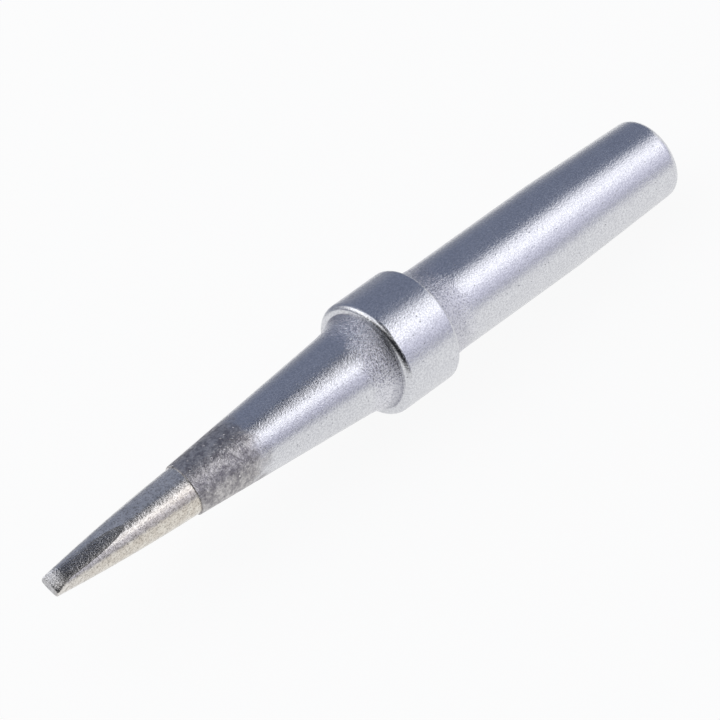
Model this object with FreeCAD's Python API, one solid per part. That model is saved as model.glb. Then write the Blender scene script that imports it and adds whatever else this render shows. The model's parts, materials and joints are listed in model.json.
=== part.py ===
"""Long-reach chisel tip for a soldering iron, in millimetres.

The tip is one piece, turned and ground from a copper bar and then plated all over.
It is drawn along its own axis first: the collar's rear face is at 0, the rear end of
the shank is on the + side and the blade is on the - side. At the end it is laid down
as it rests on a bench, on the collar's rear rim and the end of the shank, with +Z up.
"""

import FreeCAD, Part
import math
import os

Vector = FreeCAD.Vector

# Shank, the plain rear part that slides into the heater
shank_d = 5.63
shank_len = 20.1            # collar's rear face to the rear end
lead_len = 8.5              # the last stretch, which narrows a little towards the rear end
rear_d = 5.12               # across the rear end, before its edge is rounded
rear_round = 0.6            # rounding of the rear end's edge

# Collar, which stops the tip at the mouth of the heater
collar_d = 7.35
collar_len = 4.33
collar_rear_round = 0.29    # rounding of the rear rim
collar_front_round = 0.37   # rounding of the front rim
rear_flare_len = 1.8        # hollow flare from the shank up to the collar's rear face
rear_flare_rise = 0.38      # how far that flare climbs, on the radius
front_flare_len = 1.65      # hollow flare from the cone up to the collar's front face
front_flare_rise = 0.33     # how far that flare climbs above the cone's line at the face

# Plated cone in front of the collar
reach = 25.4                # collar's front face to the blade's edge
cone_base_d = 5.64          # where the cone's line meets the front face
cone_end_d = 3.33           # at the tinning line

# Tinned blade, in front of the outer plating
blade_len = 10.73           # tinning line, on the axis, to the blade's edge
tin_skew = 11.0             # degrees that the tinning line lies out of square
tin_skew_turn = 33.0        # degrees from straight up to the side where it comes nearest the edge
plating_step = 0.12         # how far the cone stands above the blade's root, on the radius
root_cover = 0.3            # how far the blade's root reaches under the plating
blade_d = 1.36              # across the round sides at the blade's edge
blade_bulge = 0.105         # how far the round side swells above a straight cone
edge_corner = 0.13          # rounding at the two ends of the edge

# Ground flats of the chisel, one on each side
edge_thickness = 0.48
bevel_len = 1.2             # edge to where the rounded bevel runs into the straight flat
bevel_thickness = 1.4       # across the flats at that place
flat_len = 5.5              # edge to where the flat runs out on the round side
crown_depth = 2.6           # how far beyond the axis each flat's crosswise crown has its centre
crown_half_turn = 40.0      # degrees that the crowned cutter reaches to each side
blade_turn = 15.6           # degrees that the edge is turned out of level as the tip lies
body_turn = 15.6            # degrees that the round body is turned with it, as on a bench

overcut = 0.5               # how far a cutter reaches past what it cuts
near = 1e-4                 # two lengths closer than this are the same
flare_share = 0.45          # most of a collar shoulder that its flare may take up
round_share = 0.45          # most of a collar shoulder that its rim's rounding may take up

# Collar shoulders: each is a flare, a flat ring and a rounded rim
rear_shoulder = (collar_d - shank_d) / 2
front_shoulder = (collar_d - cone_base_d) / 2
rear_rise = min(rear_flare_rise, rear_shoulder * flare_share)
front_rise = min(front_flare_rise, front_shoulder * flare_share)
rear_rim_round = min(collar_rear_round, rear_shoulder * round_share)
front_rim_round = min(collar_front_round, front_shoulder * round_share)

# Places along the axis
rear_end = shank_len
front_face = -collar_len
edge = front_face - reach
tin_line = edge + blade_len
skew_reach = math.tan(math.radians(tin_skew)) * cone_end_d / 2
root = tin_line + skew_reach + root_cover
cone_front = tin_line - skew_reach - overcut


def arc_from(start, heading, end):
    """The arc that leaves start along heading and ends at end."""
    chord = end - start
    turn = math.atan2(heading.cross(chord).z, heading.dot(chord))
    across = Vector(-chord.y, chord.x, 0)
    middle = start + chord / 2 - across / 2 * math.tan(turn / 2)
    return Part.Arc(start, middle, end).toShape()


def cone_radius(place):
    """Radius of the plated cone's line at a place along the axis."""
    climb = (cone_base_d - cone_end_d) / 2 / (front_face - tin_line)
    return cone_end_d / 2 + (place - tin_line) * climb


def blade_side():
    """The long shallow arc of the blade's round side, from its root to its edge."""
    start = Vector(root, cone_radius(root) - plating_step, 0)
    tip = Vector(edge, blade_d / 2, 0)
    chord = tip - start
    across = Vector(chord.y, -chord.x, 0) / chord.Length
    return Part.Arc(start, start + chord / 2 + across * blade_bulge, tip).toShape()


def blade_radius(place):
    """Radius of the blade's round side at a place along the axis."""
    circle = blade_side().Curve
    return circle.Center.y + math.sqrt(circle.Radius ** 2 - (place - circle.Center.x) ** 2)


def turned(runs):
    """The round solid that a closed half section, given as lines and arcs, sweeps out."""
    section = Part.Face(Part.Wire(Part.__sortEdges__(runs)))
    return section.revolve(Vector(0, 0, 0), Vector(1, 0, 0), 360)


def plated_body():
    """Shank, collar and cone with sharp rims, the cone a little longer than it stays."""
    rear_centre = Vector(rear_end, 0, 0)
    rear_corner = Vector(rear_end, rear_d / 2, 0)
    lead_start = Vector(rear_end - lead_len, shank_d / 2, 0)

    rear_flare_start = Vector(rear_flare_len, shank_d / 2, 0)
    rear_flare_end = Vector(0, shank_d / 2 + rear_rise, 0)
    rear_rim = Vector(0, collar_d / 2, 0)
    front_rim = Vector(front_face, collar_d / 2, 0)

    cone_end = Vector(cone_front, cone_radius(cone_front), 0)
    cone_base = Vector(front_face, cone_base_d / 2, 0)
    up_the_cone = cone_base - cone_end
    front_flare_start = cone_base - up_the_cone * (front_flare_len / up_the_cone.x)
    front_flare_end = cone_base + Vector(0, front_rise, 0)

    cone_centre = Vector(cone_front, 0, 0)

    return turned([
        Part.makeLine(rear_centre, rear_corner),
        Part.makeLine(rear_corner, lead_start),
        Part.makeLine(lead_start, rear_flare_start),
        arc_from(rear_flare_start, Vector(-1, 0, 0), rear_flare_end),
        Part.makeLine(rear_flare_end, rear_rim),
        Part.makeLine(rear_rim, front_rim),
        Part.makeLine(front_rim, front_flare_end),
        arc_from(front_flare_start, up_the_cone, front_flare_end),
        Part.makeLine(front_flare_start, cone_end),
        Part.makeLine(cone_end, cone_centre),
        Part.makeLine(cone_centre, rear_centre),
    ])


def past_tin_line():
    """The room in front of the tinning line, where the outer plating has been left off."""
    room = Part.makeBox(2 * reach, 2 * reach, 2 * reach, Vector(-2 * reach, -reach, -reach))
    room.rotate(Vector(0, 0, 0), Vector(0, 1, 0), -tin_skew)
    room.rotate(Vector(0, 0, 0), Vector(1, 0, 0), tin_skew_turn)
    room.translate(Vector(tin_line, 0, 0))
    return room


def round_rim(solid, place, diameter, rounding):
    """The solid with one of its round edges, found by place and size, rounded over."""
    rims = []
    for rim in solid.Edges:
        curve = rim.Curve
        if not isinstance(curve, Part.Circle):
            continue
        if abs(curve.Center.x - place) < near and abs(2 * curve.Radius - diameter) < near:
            rims.append(rim)
    return solid.makeFillet(rounding, rims)


def finished_body():
    """The plated body with its rims rounded and its cone ended at the tinning line."""
    body = round_rim(plated_body(), rear_end, rear_d, rear_round)
    body = round_rim(body, 0, collar_d, rear_rim_round)
    body = round_rim(body, front_face, collar_d, front_rim_round)
    body.rotate(Vector(0, 0, 0), Vector(1, 0, 0), body_turn)
    return body.cut(past_tin_line())


def round_blade():
    """The blade as it leaves the lathe, with its root reaching under the plating."""
    side = blade_side()
    root_end = side.firstVertex(True).Point
    edge_end = side.lastVertex(True).Point
    root_centre = Vector(root, 0, 0)
    edge_centre = Vector(edge, 0, 0)
    blade = turned([
        side,
        Part.makeLine(edge_end, edge_centre),
        Part.makeLine(edge_centre, root_centre),
        Part.makeLine(root_centre, root_end),
    ])
    return round_rim(blade, edge, blade_d, edge_corner)


def flat_cutter():
    """What the grinding takes off above the upper flat, with the blade's edge level."""
    edge_top = Vector(edge, edge_thickness / 2, 0)
    bevel_top = Vector(edge + bevel_len, bevel_thickness / 2, 0)
    run_out = Vector(edge + flat_len, blade_radius(edge + flat_len), 0)
    down_the_flat = bevel_top - run_out
    past_run_out = run_out - down_the_flat / down_the_flat.Length * overcut
    past_edge = edge_top - Vector(overcut, 0, 0)
    above = collar_d / 2
    runs = [
        Part.makeLine(past_edge, edge_top),
        arc_from(bevel_top, down_the_flat, edge_top),
        Part.makeLine(bevel_top, past_run_out),
        Part.makeLine(past_run_out, Vector(past_run_out.x, above, 0)),
        Part.makeLine(Vector(past_run_out.x, above, 0), Vector(past_edge.x, above, 0)),
        Part.makeLine(Vector(past_edge.x, above, 0), past_edge),
    ]
    section = Part.Face(Part.Wire(Part.__sortEdges__(runs)))
    crown_centre = Vector(0, -crown_depth, 0)
    section.rotate(crown_centre, Vector(1, 0, 0), -crown_half_turn)
    cutter = section.revolve(crown_centre, Vector(1, 0, 0), 2 * crown_half_turn)
    cutter.rotate(Vector(0, 0, 0), Vector(1, 0, 0), 90)
    return cutter


def ground_tip():
    """The whole tip: the blade with its two flats ground, joined to the plated body."""
    upper = flat_cutter()
    lower = upper.copy()
    lower.rotate(Vector(0, 0, 0), Vector(1, 0, 0), 180)
    blade = round_blade().cut(upper).cut(lower)
    blade.rotate(Vector(0, 0, 0), Vector(1, 0, 0), blade_turn)
    return finished_body().fuse(blade).Solids[0]


def lean():
    """Degrees that the rear end sinks when the tip rests on its collar and its rear end."""
    rim_along = -rear_rim_round
    rim_out = collar_d / 2 - rear_rim_round
    end_along = rear_end - rear_round
    end_out = rear_d / 2 - rear_round
    apart = math.hypot(end_along - rim_along, end_out - rim_out)
    slope = math.atan2(rim_out - end_out, end_along - rim_along)
    return math.degrees(slope + math.asin((rear_rim_round - rear_round) / apart))


def lay_down(tip):
    """The tip leaned back on its rear end, its lowest point at 0 and its box centred."""
    tip.rotate(Vector(0, 0, 0), Vector(0, 1, 0), lean())
    box = tip.optimalBoundingBox(False, False)
    tip.translate(Vector(-box.Center.x, -box.Center.y, -box.ZMin))
    return -box.Center.x, -box.Center.y, -box.ZMin


tip_body = ground_tip()
collar_place = lay_down(tip_body)

os.makedirs("parts", exist_ok=True)
tip_body.exportStep("parts/tip_body.step")

print("lean, degrees:", round(lean(), 4))
print("centre of the collar's rear face:", [round(value, 4) for value in collar_place])
print("volume, cubic mm:", round(tip_body.Volume, 3))
print("solids:", len(tip_body.Solids), "valid:", tip_body.isValid())
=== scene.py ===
# %% [markdown]
# # A soldering iron tip, dressed for its picture
# The solid comes from the CAD model and is already right in size and shape. A second mesh
# could be modelled here for the looks, but then the picture and the made part would drift
# apart. So the solid stays as it is loaded. This lesson gives it its plated, grained and
# tinned surfaces, lays it on a white table, and lights it the way a small shiny thing is
# photographed: with one soft lamp, and with cards for the metal to mirror.

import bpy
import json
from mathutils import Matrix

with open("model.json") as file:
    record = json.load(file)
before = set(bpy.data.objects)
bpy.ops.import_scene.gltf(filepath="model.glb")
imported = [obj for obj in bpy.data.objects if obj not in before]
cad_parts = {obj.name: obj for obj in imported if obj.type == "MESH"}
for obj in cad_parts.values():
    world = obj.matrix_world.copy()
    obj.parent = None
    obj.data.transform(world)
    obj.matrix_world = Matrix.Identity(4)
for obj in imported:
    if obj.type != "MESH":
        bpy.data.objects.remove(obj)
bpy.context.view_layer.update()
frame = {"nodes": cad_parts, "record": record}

# %% [markdown]
# The tip lies leaned back on its rear end, so every place on it is easiest to give along its
# own axis. That lean could be typed in as an angle. The record already holds two mounts, one
# on the shank and one on the collar's rear face, and an axis that is read from them stays
# right if the part is ever laid down another way. Lengths are written in millimetres and
# turned into Blender's metres where they are used.

# %% The tip's own axis
from mathutils import Vector

mm = 0.001
mounts = {mount["name"]: mount for mount in frame["record"]["mounts"]}
axis = Vector(mounts["shank"]["axis"]).normalized()
shank_place = Vector(mounts["shank"]["pos_m"])
seat_place = Vector(mounts["collar_seat"]["pos_m"])
rear_face = shank_place + axis * (seat_place - shank_place).dot(axis)
print("collar's rear face, mm:", [round(c / mm, 3) for c in rear_face])

# %% [markdown]
# The camera looks down at the tip from the blade's side. A short lens close by would make
# the blade look long and the shank small. A long lens from half a metre away keeps the two
# ends nearly the same size, as catalogue pictures do, so that is what stands here.

# %% Camera
import math

import bpy


def direction(azimuth, elevation):
    """The way from the tip to a thing that stands at a turn around it and an angle up."""
    turn, rise = math.radians(azimuth), math.radians(elevation)
    return Vector((math.sin(turn) * math.cos(rise), -math.cos(turn) * math.cos(rise),
                   math.sin(rise)))


def point(thing, place, target):
    """Puts a camera, lamp or card at a place, with its front towards a target."""
    thing.location = place
    thing.rotation_euler = (target - place).to_track_quat("-Z", "Y").to_euler()


camera_azimuth, camera_elevation, camera_distance = -45.998, 48.253, 463.805
aim = Vector((1.4077, 1.2385, 2.2857)) * mm
camera = bpy.data.objects.new("camera", bpy.data.cameras.new("camera"))
bpy.context.collection.objects.link(camera)
camera.data.lens = 400
camera.data.sensor_width = 36
point(camera, aim + direction(camera_azimuth, camera_elevation) * camera_distance * mm, aim)
bpy.context.scene.camera = camera
bpy.context.scene.view_settings.view_transform = "Standard"
print("camera at, mm:", [round(c / mm, 1) for c in camera.location])

# %% [markdown]
# The finishes are worked out by sums over noises and distances. Those could be wired by hand
# in the shader editor, one Math node after another, which soon gets hard to follow. Here a
# `Value` wraps one output of a node, and each sign used on it adds a Math node to the same
# tree, so that a sum of shader values reads like any other sum.

# %% Sums that add Math nodes
class Value:
    """One output socket, on which + - * / add Math nodes."""

    def __init__(self, finish, socket):
        self.finish = finish
        self.socket = socket

    def maths(self, operation, first, second):
        return self.finish.node("ShaderNodeMath", {"operation": operation}, {0: first, 1: second})

    def __add__(self, other):
        return self.maths("ADD", self, other)

    def __sub__(self, other):
        return self.maths("SUBTRACT", self, other)

    def __rsub__(self, other):
        return self.maths("SUBTRACT", other, self)

    def __mul__(self, other):
        return self.maths("MULTIPLY", self, other)

    def __truediv__(self, other):
        return self.maths("DIVIDE", self, other)

    __radd__ = __add__
    __rmul__ = __mul__


print("signs that add a node: + - * /")

# %% [markdown]
# Every other node comes from `Finish.node`. It takes the node's type, its settings, and then
# the values or links of its sockets. The settings go first because some of them change which
# sockets a node has. A few helpers name what the finishes need most: a soft step, a mix of
# two colours, vector sums, and noise.

# %% Materials as node trees
class Finish:
    """A material or a world, with its node tree."""

    def __init__(self, holder):
        holder.use_nodes = True
        self.tree = holder.node_tree
        self.tree.nodes.clear()

    def node(self, kind, settings={}, sockets={}, output=0):
        made = self.tree.nodes.new(kind)
        for name, setting in settings.items():
            setattr(made, name, setting)
        for name, given in sockets.items():
            if isinstance(given, Value):
                self.tree.links.new(given.socket, made.inputs[name])
            else:
                made.inputs[name].default_value = given
        return Value(self, made.outputs[output]) if made.outputs else made

    def step(self, value, start, end):
        """0 up to start, 1 from end on, with a smooth rise between; start may be above end."""
        return self.node("ShaderNodeMapRange", {"interpolation_type": "SMOOTHSTEP"},
                         {"Value": value, "From Min": start, "From Max": end})

    def mix(self, factor, first, second):
        return self.node("ShaderNodeMix", {"data_type": "RGBA"},
                         {"Factor": factor, 6: first, 7: second}, output=2)

    def vector(self, operation, first, second=(0, 0, 0), output=0):
        return self.node("ShaderNodeVectorMath", {"operation": operation},
                         {0: first, 1: second}, output=output)

    def noise(self, place, scale, detail=2.0, roughness=0.5):
        return self.node("ShaderNodeTexNoise", {},
                         {"Vector": place, "Scale": scale, "Detail": detail,
                          "Roughness": roughness})


print("helpers of a Finish:", [name for name in vars(Finish) if "_" not in name])

# %% [markdown]
# The tip lies on a wide white sheet that runs out of the picture on all sides. Strong lamps
# could turn it white, but they would wash out the metal as well. So the sheet shows a plain
# white of its own to the camera and in the metal. A share of ordinary paint is left in the
# mix, because paint takes the tip's soft shadow and a glow doesn't.

# %% Table
def seen_rays(finish):
    """1 for rays from the camera and for those that metal or glass sends on."""
    path = [finish.node("ShaderNodeLightPath", output=name)
            for name in ("Is Camera Ray", "Is Glossy Ray", "Is Transmission Ray")]
    return finish.node("ShaderNodeMath", {"operation": "MINIMUM"},
                       {0: path[0] + path[1] + path[2], 1: 1.0})


own_white = 0.91
table_material = bpy.data.materials.new("white_table")
table_finish = Finish(table_material)
table_paint = table_finish.node("ShaderNodeBsdfDiffuse", {}, {"Color": (0.93, 0.93, 0.93, 1)})
table_glow = table_finish.node("ShaderNodeEmission", {}, {"Color": (1, 1, 1, 1), "Strength": 1.0})
table_mix = table_finish.node("ShaderNodeMixShader", {},
                              {"Fac": seen_rays(table_finish) * own_white,
                               1: table_paint, 2: table_glow})
table_finish.node("ShaderNodeOutputMaterial", {}, {"Surface": table_mix})

half = 3.0
table_corners = [(-half, -half, 0), (half, -half, 0), (half, half, 0), (-half, half, 0)]
table_mesh = bpy.data.meshes.new("table")
table_mesh.from_pydata(table_corners, [], [(0, 1, 2, 3)])
table_mesh.materials.append(table_material)
table = bpy.data.objects.new("table", table_mesh)
bpy.context.collection.objects.link(table)
print("table is", 2 * half, "m wide")

# %% [markdown]
# Beyond the sheet is open sky. It has to light the tip softly from everywhere, and it has to
# look as white as the sheet, or the metal would mirror a horizon. A picture of a real room
# could do both. Two plain colours are enough here and are easier to change: a soft bluish
# one that lights, and a white one that is seen.

# %% Sky
world = bpy.data.worlds.new("studio")
bpy.context.scene.world = world
sky = Finish(world)
soft_sky = sky.node("ShaderNodeBackground", {}, {"Color": (0.9, 0.93, 1, 1), "Strength": 0.55})
white_sky = sky.node("ShaderNodeBackground", {}, {"Color": (1, 1, 1, 1), "Strength": 1.0})
sky_mix = sky.node("ShaderNodeMixShader", {},
                   {"Fac": seen_rays(sky), 1: soft_sky, 2: white_sky})
sky.node("ShaderNodeOutputWorld", {}, {"Surface": sky_mix})
print("sky nodes:", len(sky.tree.nodes))

# %% [markdown]
# One large soft lamp stands at the left, behind the tip. In a studio it is a soft box: it
# gives the rims a glint, and the tip its shadow. A small lamp would do that too, but with a
# hard, dark edge, so this one is nearly half a metre across. Its power follows from its size,
# because a lamp that shows as plain white in the metal needs more watts when it is larger.

# %% Soft lamp
box_width, box_height, box_distance = 0.46, 0.48, 0.40
lamp = bpy.data.lights.new("left_box", "AREA")
lamp.shape = "RECTANGLE"
lamp.size, lamp.size_y = box_width, box_height
lamp.energy = math.pi * box_width * box_height
left_box = bpy.data.objects.new("left_box", lamp)
bpy.context.collection.objects.link(left_box)
left_box.visible_camera = False
point(left_box, direction(-136, 44) * box_distance, Vector((0, 0, 0)))
print("left_box gives", round(lamp.energy, 3), "W")

# %% [markdown]
# Bare metal has hardly any colour of its own: it shows the room around it. The broad stripes
# along a shiny tip are mirrored things, and photographers place them with sheets of card.
# More lamps could make them, but each would add its light everywhere. A card here is a flat
# shape that glows in its own plain colour. Only mirroring surfaces see it, it casts no
# shadow, and where two cards overlap the nearer one covers the other exactly.

# %% How a card is made
def paint(red, green, blue):
    """A colour as a screen shows it, 0 to 255, turned into the linear one that nodes use."""
    linear = []
    for shown in (red, green, blue):
        part = shown / 255
        linear.append(part / 12.92 if part <= 0.04045 else ((part + 0.055) / 1.055) ** 2.4)
    return (*linear, 1.0)


def metal_only(name, corners, colour, strength=1.0):
    """A flat glowing shape that only mirroring surfaces see."""
    material = bpy.data.materials.new(name)
    finish = Finish(material)
    shade = finish.node("ShaderNodeEmission", {}, {"Color": colour, "Strength": strength})
    finish.node("ShaderNodeOutputMaterial", {}, {"Surface": shade})
    material.cycles.emission_sampling = "NONE"
    mesh = bpy.data.meshes.new(name)
    mesh.from_pydata(corners, [], [tuple(range(len(corners)))])
    mesh.materials.append(material)
    made = bpy.data.objects.new(name, mesh)
    bpy.context.collection.objects.link(made)
    made.visible_camera = False
    made.visible_diffuse = False
    made.visible_shadow = False
    return made


def card(name, azimuth, elevation, distance, outline, colour, strength=1.0):
    """A card that stands in one direction and faces the tip; its outline is in metres."""
    corners = [(across, up, 0) for across, up in outline]
    made = metal_only(name, corners, colour, strength)
    point(made, direction(azimuth, elevation) * distance, Vector((0, 0, 0)))
    print(name, "has", len(corners), "corners and stands", distance, "m away")


def sides(left, right, low, high):
    """The outline of an upright rectangle around a card's aiming point."""
    return [(left, low), (right, low), (right, high), (left, high)]


print("a shown 128 is a linear", round(paint(128, 128, 128)[0], 3))

# %% [markdown]
# The broad bright stripe along the tip is one long white card at the upper right. One plain
# card would end the stripe in a hard line, where the real one fades into the dark side. So
# the end of the card that makes this border is a length of its own and a little weaker.
# Below it stands a lavender card for the cooler lower half of the stripe, and low down a
# grey one, for the soft line between the stripe and the mirrored table.

# %% White, lavender and grey cards
stripe_left, stripe_split, stripe_right = -0.45, 0.07, 0.45
stripe_low, stripe_high = -0.18, 0.085
card("bright_card", 63, 55, 0.45, sides(stripe_left, stripe_split, stripe_low, stripe_high),
     paint(250, 250, 255), 1.7)
card("bright_end_card", 63, 55, 0.45, sides(stripe_split, stripe_right, stripe_low, stripe_high),
     paint(246, 247, 255), 1.2)
card("lavender_card", 40, 22, 0.46, sides(-0.45, 0.45, -0.11, 0.13), paint(238, 238, 255))
low_outline = [(-0.50, -0.10), (0.50, -0.10), (0.50, 0.065), (-0.50, 0.12)]
card("low_card", 40, 2, 0.45, low_outline, paint(182, 183, 198))

# %% [markdown]
# The upper side of the tip is an even slate colour. A darker paint on the metal could give
# it, but it would darken the stripe as well and would not move with the view. So a slate
# card stands behind, and the metal mirrors it. Its upper left corner is cut off in steps,
# so that the slate ends where the real one does on blade, cone and shank. A narrow, nearly
# black card lies over that cut edge and draws the thin dark line beside the stripe.

# %% Slate card and its dark edge
back_outline = [(-0.35, -0.30), (0.42, -0.30), (0.42, 0.42), (-0.145, 0.42), (-0.175, 0.35),
                (-0.245, 0.27), (-0.275, 0.20)]
card("back_card", 150, 36, 0.35, back_outline, paint(120, 128, 149))
seam_outline = [(-0.235, 0.27), (-0.19, 0.25), (-0.12, 0.34), (-0.10, 0.42), (-0.145, 0.42),
                (-0.175, 0.35)]
card("seam_card", 150, 36, 0.345, seam_outline, paint(44, 47, 60))

# %% [markdown]
# Shiny metal on a white table looks flat without something black to mirror. The card nearly
# overhead is for the blade's ground flat, which is the darkest face of the real tip. Three
# more stand around the camera's side, where the collar's rounded front rim mirrors them as
# one thin black line. One long card could do that too, but three short ones can each face
# the tip, and the last one has a corner cut off to keep it out of the bright stripe.

# %% Black cards
card("top_card", 0, 81, 0.34, sides(-0.07, 0.155, -0.10, 0.125), paint(22, 23, 29))
front_black = paint(20, 21, 26)
for turn in (-98, -52):
    card("dark_card", turn, 30, 0.42, sides(-0.185, 0.185, -0.26, 0.26), front_black)
end_outline = [(-0.12, -0.26), (0.22, -0.26), (0.20, 0.05), (0.07, 0.26), (-0.12, 0.26)]
card("dark_end_card", -16, 30, 0.42, end_outline, front_black)

# %% [markdown]
# The very edge of the tip's far side mirrors the table beyond it, at a low angle. In white,
# that edge would melt into the background. A grey table would stop this but would be seen.
# So a grey sheet lies there, just above the table, that only the metal sees.

# %% Grey sheet beyond the tip
sheet_near, sheet_far, sheet_half, sheet_lift = 0.012, 0.6, 0.6, 0.0002
far_corners = [(-sheet_half, sheet_near, sheet_lift), (sheet_half, sheet_near, sheet_lift),
               (sheet_half, sheet_far, sheet_lift), (-sheet_half, sheet_far, sheet_lift)]
metal_only("far_sheet", far_corners, paint(150, 154, 166))
print("grey sheet begins", sheet_near / mm, "mm behind the tip's middle")

# %% [markdown]
# Each finish keeps to its own stretch of the tip. The faces could be given a material each,
# but the real borders are soft and uneven and don't follow the faces of the solid. So one
# material covers the whole tip. It works out, for every point, how far along the axis it
# lies, how far out from it, and on which side.

# %% Places on the tip
tip_material = bpy.data.materials.new("plated_and_tinned_metal")
metal = Finish(tip_material)

level = Vector((0, 1, 0))
upward = axis.cross(level).normalized()
coordinates = metal.node("ShaderNodeTexCoord", output="Object")
from_face = metal.vector("SUBTRACT", coordinates, tuple(rear_face))
place = metal.node("ShaderNodeVectorMath", {"operation": "SCALE"},
                   {0: from_face, "Scale": 1 / mm})
along = metal.vector("DOT_PRODUCT", place, tuple(axis), output="Value")
sideways = metal.vector("DOT_PRODUCT", place, tuple(level), output="Value")
upwards = metal.vector("DOT_PRODUCT", place, tuple(upward), output="Value")
out_square = sideways * sideways + upwards * upwards
radius = metal.node("ShaderNodeMath", {"operation": "SQRT"}, {0: out_square})
print("up, square to the axis:", [round(c, 3) for c in upward])

# %% [markdown]
# The blade is tinned: the outer plating ends at a line that lies a little out of square, and
# solder wets the metal in front of it. The ground flats of the chisel are tinned as well but
# look darker and coarser. A mask is a number between 0 and 1 that says how much of a finish
# a point has. The tin's mask tips the length along the axis by the slant of that line. The
# flats are found where a point lies nearer to the axis than the blade's round side would.

# %% Masks for the tin and the ground flats
tin_line, blade_edge = -19.0, -29.73
tin_skew, tin_skew_turn = math.radians(11), math.radians(33)
near_side = upwards * math.cos(tin_skew_turn) - sideways * math.sin(tin_skew_turn)
past_tin = (along - tin_line) * math.cos(tin_skew) + near_side * math.sin(tin_skew)
tinned = metal.step(past_tin, -0.01, -0.03)

edge_radius, root_growth, swell = 0.68, 0.87, 0.42
share = (along - blade_edge) / (tin_line - blade_edge)
round_radius = edge_radius + root_growth * share + swell * share * (1 - share)
ground = metal.step(round_radius - radius, 0.02, 0.07) * tinned
print("tinned blade is", round(tin_line - blade_edge, 2), "mm long")

# %% [markdown]
# Behind the tinning line, heat and old flux have left a dull, mottled band. Its border to
# the clean plating is ragged, which a plain gradient would not show. Adding noise to the
# length along the axis before the step moves that border to and fro.

# %% Mask for the mottled band
band_length, band_ragged, band_soft = 4.4, 3.2, 0.8
band_end = tin_line + band_length
band_wander = metal.noise(place, 0.9, 4.0, 0.6) - 0.5
banded = metal.step(along + band_wander * band_ragged, band_end + band_soft, band_end - band_soft)
banded = banded * (1 - tinned)
print("mottled band ends", band_end, "mm from the collar's rear face")

# %% [markdown]
# In the two hollow flares of the collar the plating has kept a sandy grain, because
# polishing hardly reaches into hollows. The flares are faces of their own in the solid, but
# the grain runs out past them. So each flare has a mask that fades out along the cone or the
# shank, with an uneven border. It stops at the collar's face, and within that face at the
# flat ring around the flare.

# %% Masks for the sandy flares
front_face = -4.33
front_fades, rear_fades, fully_sandy = 2.3, 2.7, 1.0
ring_radius, front_ring_soft, rear_ring_soft = 3.35, 0.25, 0.20
face_soft, flare_ragged = 0.02, 1.6
wander = (metal.noise(place, 1.3, 3.0) - 0.5) * flare_ragged
front_flare = metal.step(along + wander, front_face - front_fades, front_face - fully_sandy)
front_flare = front_flare * metal.step(along, front_face + face_soft, front_face - face_soft)
front_flare = front_flare * metal.step(radius, ring_radius, ring_radius - front_ring_soft)
rear_flare = metal.step(along - wander, rear_fades, fully_sandy)
rear_flare = rear_flare * metal.step(along, -face_soft, face_soft)
rear_flare = rear_flare * metal.step(radius, ring_radius, ring_radius - rear_ring_soft)
sandy = front_flare + rear_flare
print("collar is", -front_face, "mm long between its flares")

# %% [markdown]
# The plating has a fine grain, soft dimples and a few round pits, and small bright beads sit
# on the mottled band. A scan of a real tip could hold all of them, but noise gives them in
# any number and at any size. Three plain noises make the grain and the dimples. Pits and
# beads are the middles of cells in a Voronoi pattern, and a larger noise lets them through
# in patches only, as the real ones lie.

# %% Grain, dimples, pits and bright spots
grain = metal.noise(place, 9.0, 3.0, 0.6)
coarse_grain = metal.noise(place, 5.0, 2.0, 0.6)
dimples = metal.noise(place, 1.6, 3.0, 0.55)


def spots(cells_per_mm, outer, inner, patch_scale, patch_start, patch_end):
    """Round spots in the middle of some cells, in the patches of a larger noise."""
    from_middle = metal.node("ShaderNodeTexVoronoi", {"feature": "F1"},
                             {"Vector": place, "Scale": cells_per_mm})
    patch = metal.step(metal.noise(place, patch_scale, 1.0), patch_start, patch_end)
    return metal.step(from_middle, outer, inner) * patch


pits = spots(3.1, 0.15, 0.07, 1.1, 0.46, 0.58)
sparks = spots(2.3, 0.22, 0.10, 1.4, 0.43, 0.51)
print("nodes for the finishes so far:", len(metal.tree.nodes))

# %% [markdown]
# The relief bends the mirrored stripes as a worn surface does. The mesh itself could be cut
# finer and pushed in and out, but steps of a few thousandths of a millimetre would take
# millions of faces. A Bump node only tilts the light, which is all that so small a relief
# does. The hollows get the deepest grain, the clean plating hardly any. Every height is
# counted in the same small steps.

# %% Relief
plain_height = grain * 1.5 + coarse_grain * 0.5 + dimples * 1.0 - pits * 0.8
sandy_height = coarse_grain * 3.4 + grain * 5.6
band_height = coarse_grain * 3.0 + grain * 3.0 - pits * 1.5 + sparks * 5.0
tin_height = dimples * 1.1 + coarse_grain * 0.9 + grain * (1.1 + 0.7 * ground)

plain = (1 - sandy) * (1 - banded) * (1 - tinned)
height = plain_height * plain + sandy_height * sandy + band_height * banded + tin_height * tinned
relief_step = 0.012
relief = metal.node("ShaderNodeBump", {}, {"Strength": 1.0, "Distance": relief_step * mm,
                                           "Height": height})
print("one step of relief is", relief_step, "mm high")

# %% [markdown]
# Clean plating is a light, slightly blue grey. One flat colour would look sprayed on. Large soft
# clouds change it a little, the grain leaves a darker speckle in its low places, and the pits are
# darker still.

# %% Colour of the plating
cloud = metal.noise(place, 0.7, 2.0)
speckle = metal.step(grain, 0.36, 0.62)
plating = metal.mix(cloud, paint(220, 221, 225), paint(229, 230, 233))
plating = metal.mix(speckle, metal.mix(0.28, plating, paint(120, 120, 135)), plating)
plating = metal.mix(pits * 0.9, plating, paint(120, 122, 130))
print("nodes with the plating:", len(metal.tree.nodes))

# %% [markdown]
# The mottled band is duller and browner. Its blotches have torn edges on the real tip. A
# smooth noise gives round blobs, so a rougher noise is added to the dimples and both are cut
# with a step. The bright spots are laid over it last.

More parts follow.
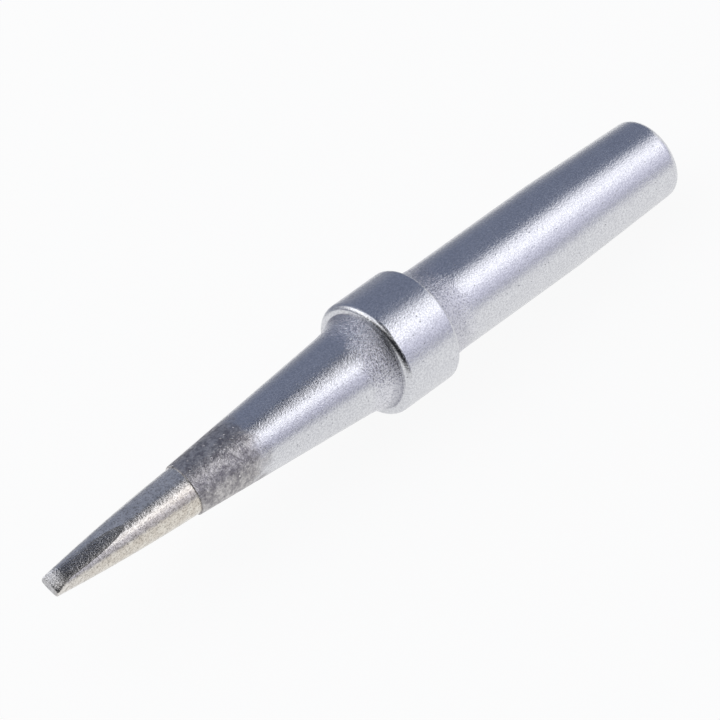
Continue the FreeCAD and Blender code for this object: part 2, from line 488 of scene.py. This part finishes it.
# %% Colour of the mottled band
blotches = metal.step(metal.noise(place, 3.4, 4.0, 0.65) * 0.6 + dimples * 0.4, 0.40, 0.60)
band_colour = metal.mix(blotches, paint(152, 149, 153), paint(212, 209, 208))
band_colour = metal.mix(speckle, metal.mix(0.35, band_colour, paint(90, 86, 92)), band_colour)
band_colour = metal.mix(sparks * 0.85, band_colour, paint(246, 244, 242))
print("nodes with the band:", len(metal.tree.nodes))

# %% [markdown]
# The tin is brighter, with brownish stains of old flux. Its side that is turned to the camera is
# painted warmer, as a painted reflection of a warm table below it. Two sets of stained colours are
# mixed by how far a point lies to that side. Grinding has left the ground flats coarser, and they
# are painted a darker grey as painted shade.

# %% Colour of the tin
tin_stain = metal.step(metal.noise(place, 2.6, 4.0, 0.65), 0.35, 0.65)
tin_shade = metal.mix(tin_stain, paint(206, 206, 208), paint(230, 229, 229))
tin_reflected_warmth = metal.mix(tin_stain, paint(216, 208, 196), paint(238, 232, 221))
# Painted reflection: the tin is warmed towards the camera's side, where it mirrors a warm table.
reflected_warmth_from, reflected_warmth_full = -0.1, -1.2
reflected_warmth_side = metal.step(sideways, reflected_warmth_from, reflected_warmth_full)
tin_colour = metal.mix(reflected_warmth_side, tin_shade, tin_reflected_warmth)
tin_specks = metal.step(grain, 0.34, 0.54)
tin_colour = metal.mix(tin_specks, metal.mix(0.50, tin_colour, paint(100, 92, 86)), tin_colour)
# Painted shade: the ground flats are darkened towards a bluish grey, on top of the dark they
# mirror.
tin_colour = metal.mix(ground * 0.32, tin_colour, paint(84, 86, 97))
print("the tin is warm in full", -reflected_warmth_full, "mm to the camera's side of the axis")

# %% [markdown]
# The sandy grain of the flares is dark between its grains, and darker at the foot of the
# front flare, where the hollow shades itself. The lamps could make that shade only with a
# grain of real depth, so a part of it goes into the colour.

# %% Colour of the sandy flares
foot_length = 0.9
sandy_colour = metal.mix(metal.step(grain, 0.30, 0.52), paint(164, 165, 178), paint(229, 229, 235))
shaded_foot = metal.step(along, front_face - foot_length, front_face) * front_flare
# The rear flare is darkened a little as well: painted shade of its hollow.
sandy_colour = metal.mix(shaded_foot * 0.40 + rear_flare * 0.18, sandy_colour, paint(128, 130, 144))
print("foot of the front flare is", foot_length, "mm long")

# %% [markdown]
# The masks now lay the finishes over each other: plating, sandy grain, mottled band, tin.
# Roughness decides how softly each of them mirrors. The tin is the smoothest, because solder
# has flowed over it, and the band is the dullest, except on its bright spots. A thin haze of
# oxide and flux lies on the tin's round side and on the band. It could be a second shader,
# but a slightly lower Metallic gives the same pale veil.

# %% The finished metal
colour = metal.mix(sandy, plating, sandy_colour)
colour = metal.mix(banded, colour, band_colour)
colour = metal.mix(tinned, colour, tin_colour)

plain_rough, sandy_rough, band_rough, tin_rough = 0.24, 0.24, 0.34, 0.17
cloud_rough, spark_polish = 0.08, 0.5
roughness = (plain_rough + cloud_rough * (cloud - 0.5)) * plain
roughness = roughness + sandy_rough * sandy + band_rough * banded * (1 - spark_polish * sparks)
roughness = roughness + tin_rough * tinned

clean_metallic, tin_haze, band_haze, flat_clean = 0.98, 0.19, 0.08, 0.12
haze_free = clean_metallic - tin_haze * tinned - band_haze * banded + flat_clean * ground
shader = metal.node("ShaderNodeBsdfPrincipled", {},
                    {"Base Color": colour, "Metallic": haze_free, "Roughness": roughness,
                     "Normal": relief})
metal.node("ShaderNodeOutputMaterial", {}, {"Surface": shader})
print("nodes in the finished metal:", len(metal.tree.nodes))

# %% [markdown]
# The tip is one solid, so every material slot gets the same metal. The slots could be
# emptied and made anew, but filling the ones that are there leaves the mesh untouched.

# %% Dress the solid
tip = frame["nodes"]["tip_body"]
for slot in tip.material_slots:
    slot.material = tip_material
print("slots dressed:", len(tip.material_slots), "faces:", len(tip.data.polygons))

# %% [markdown]
# At the end, the scene is brought up to date. Nothing has been added to the tip.

# %% Bring the scene up to date
import json

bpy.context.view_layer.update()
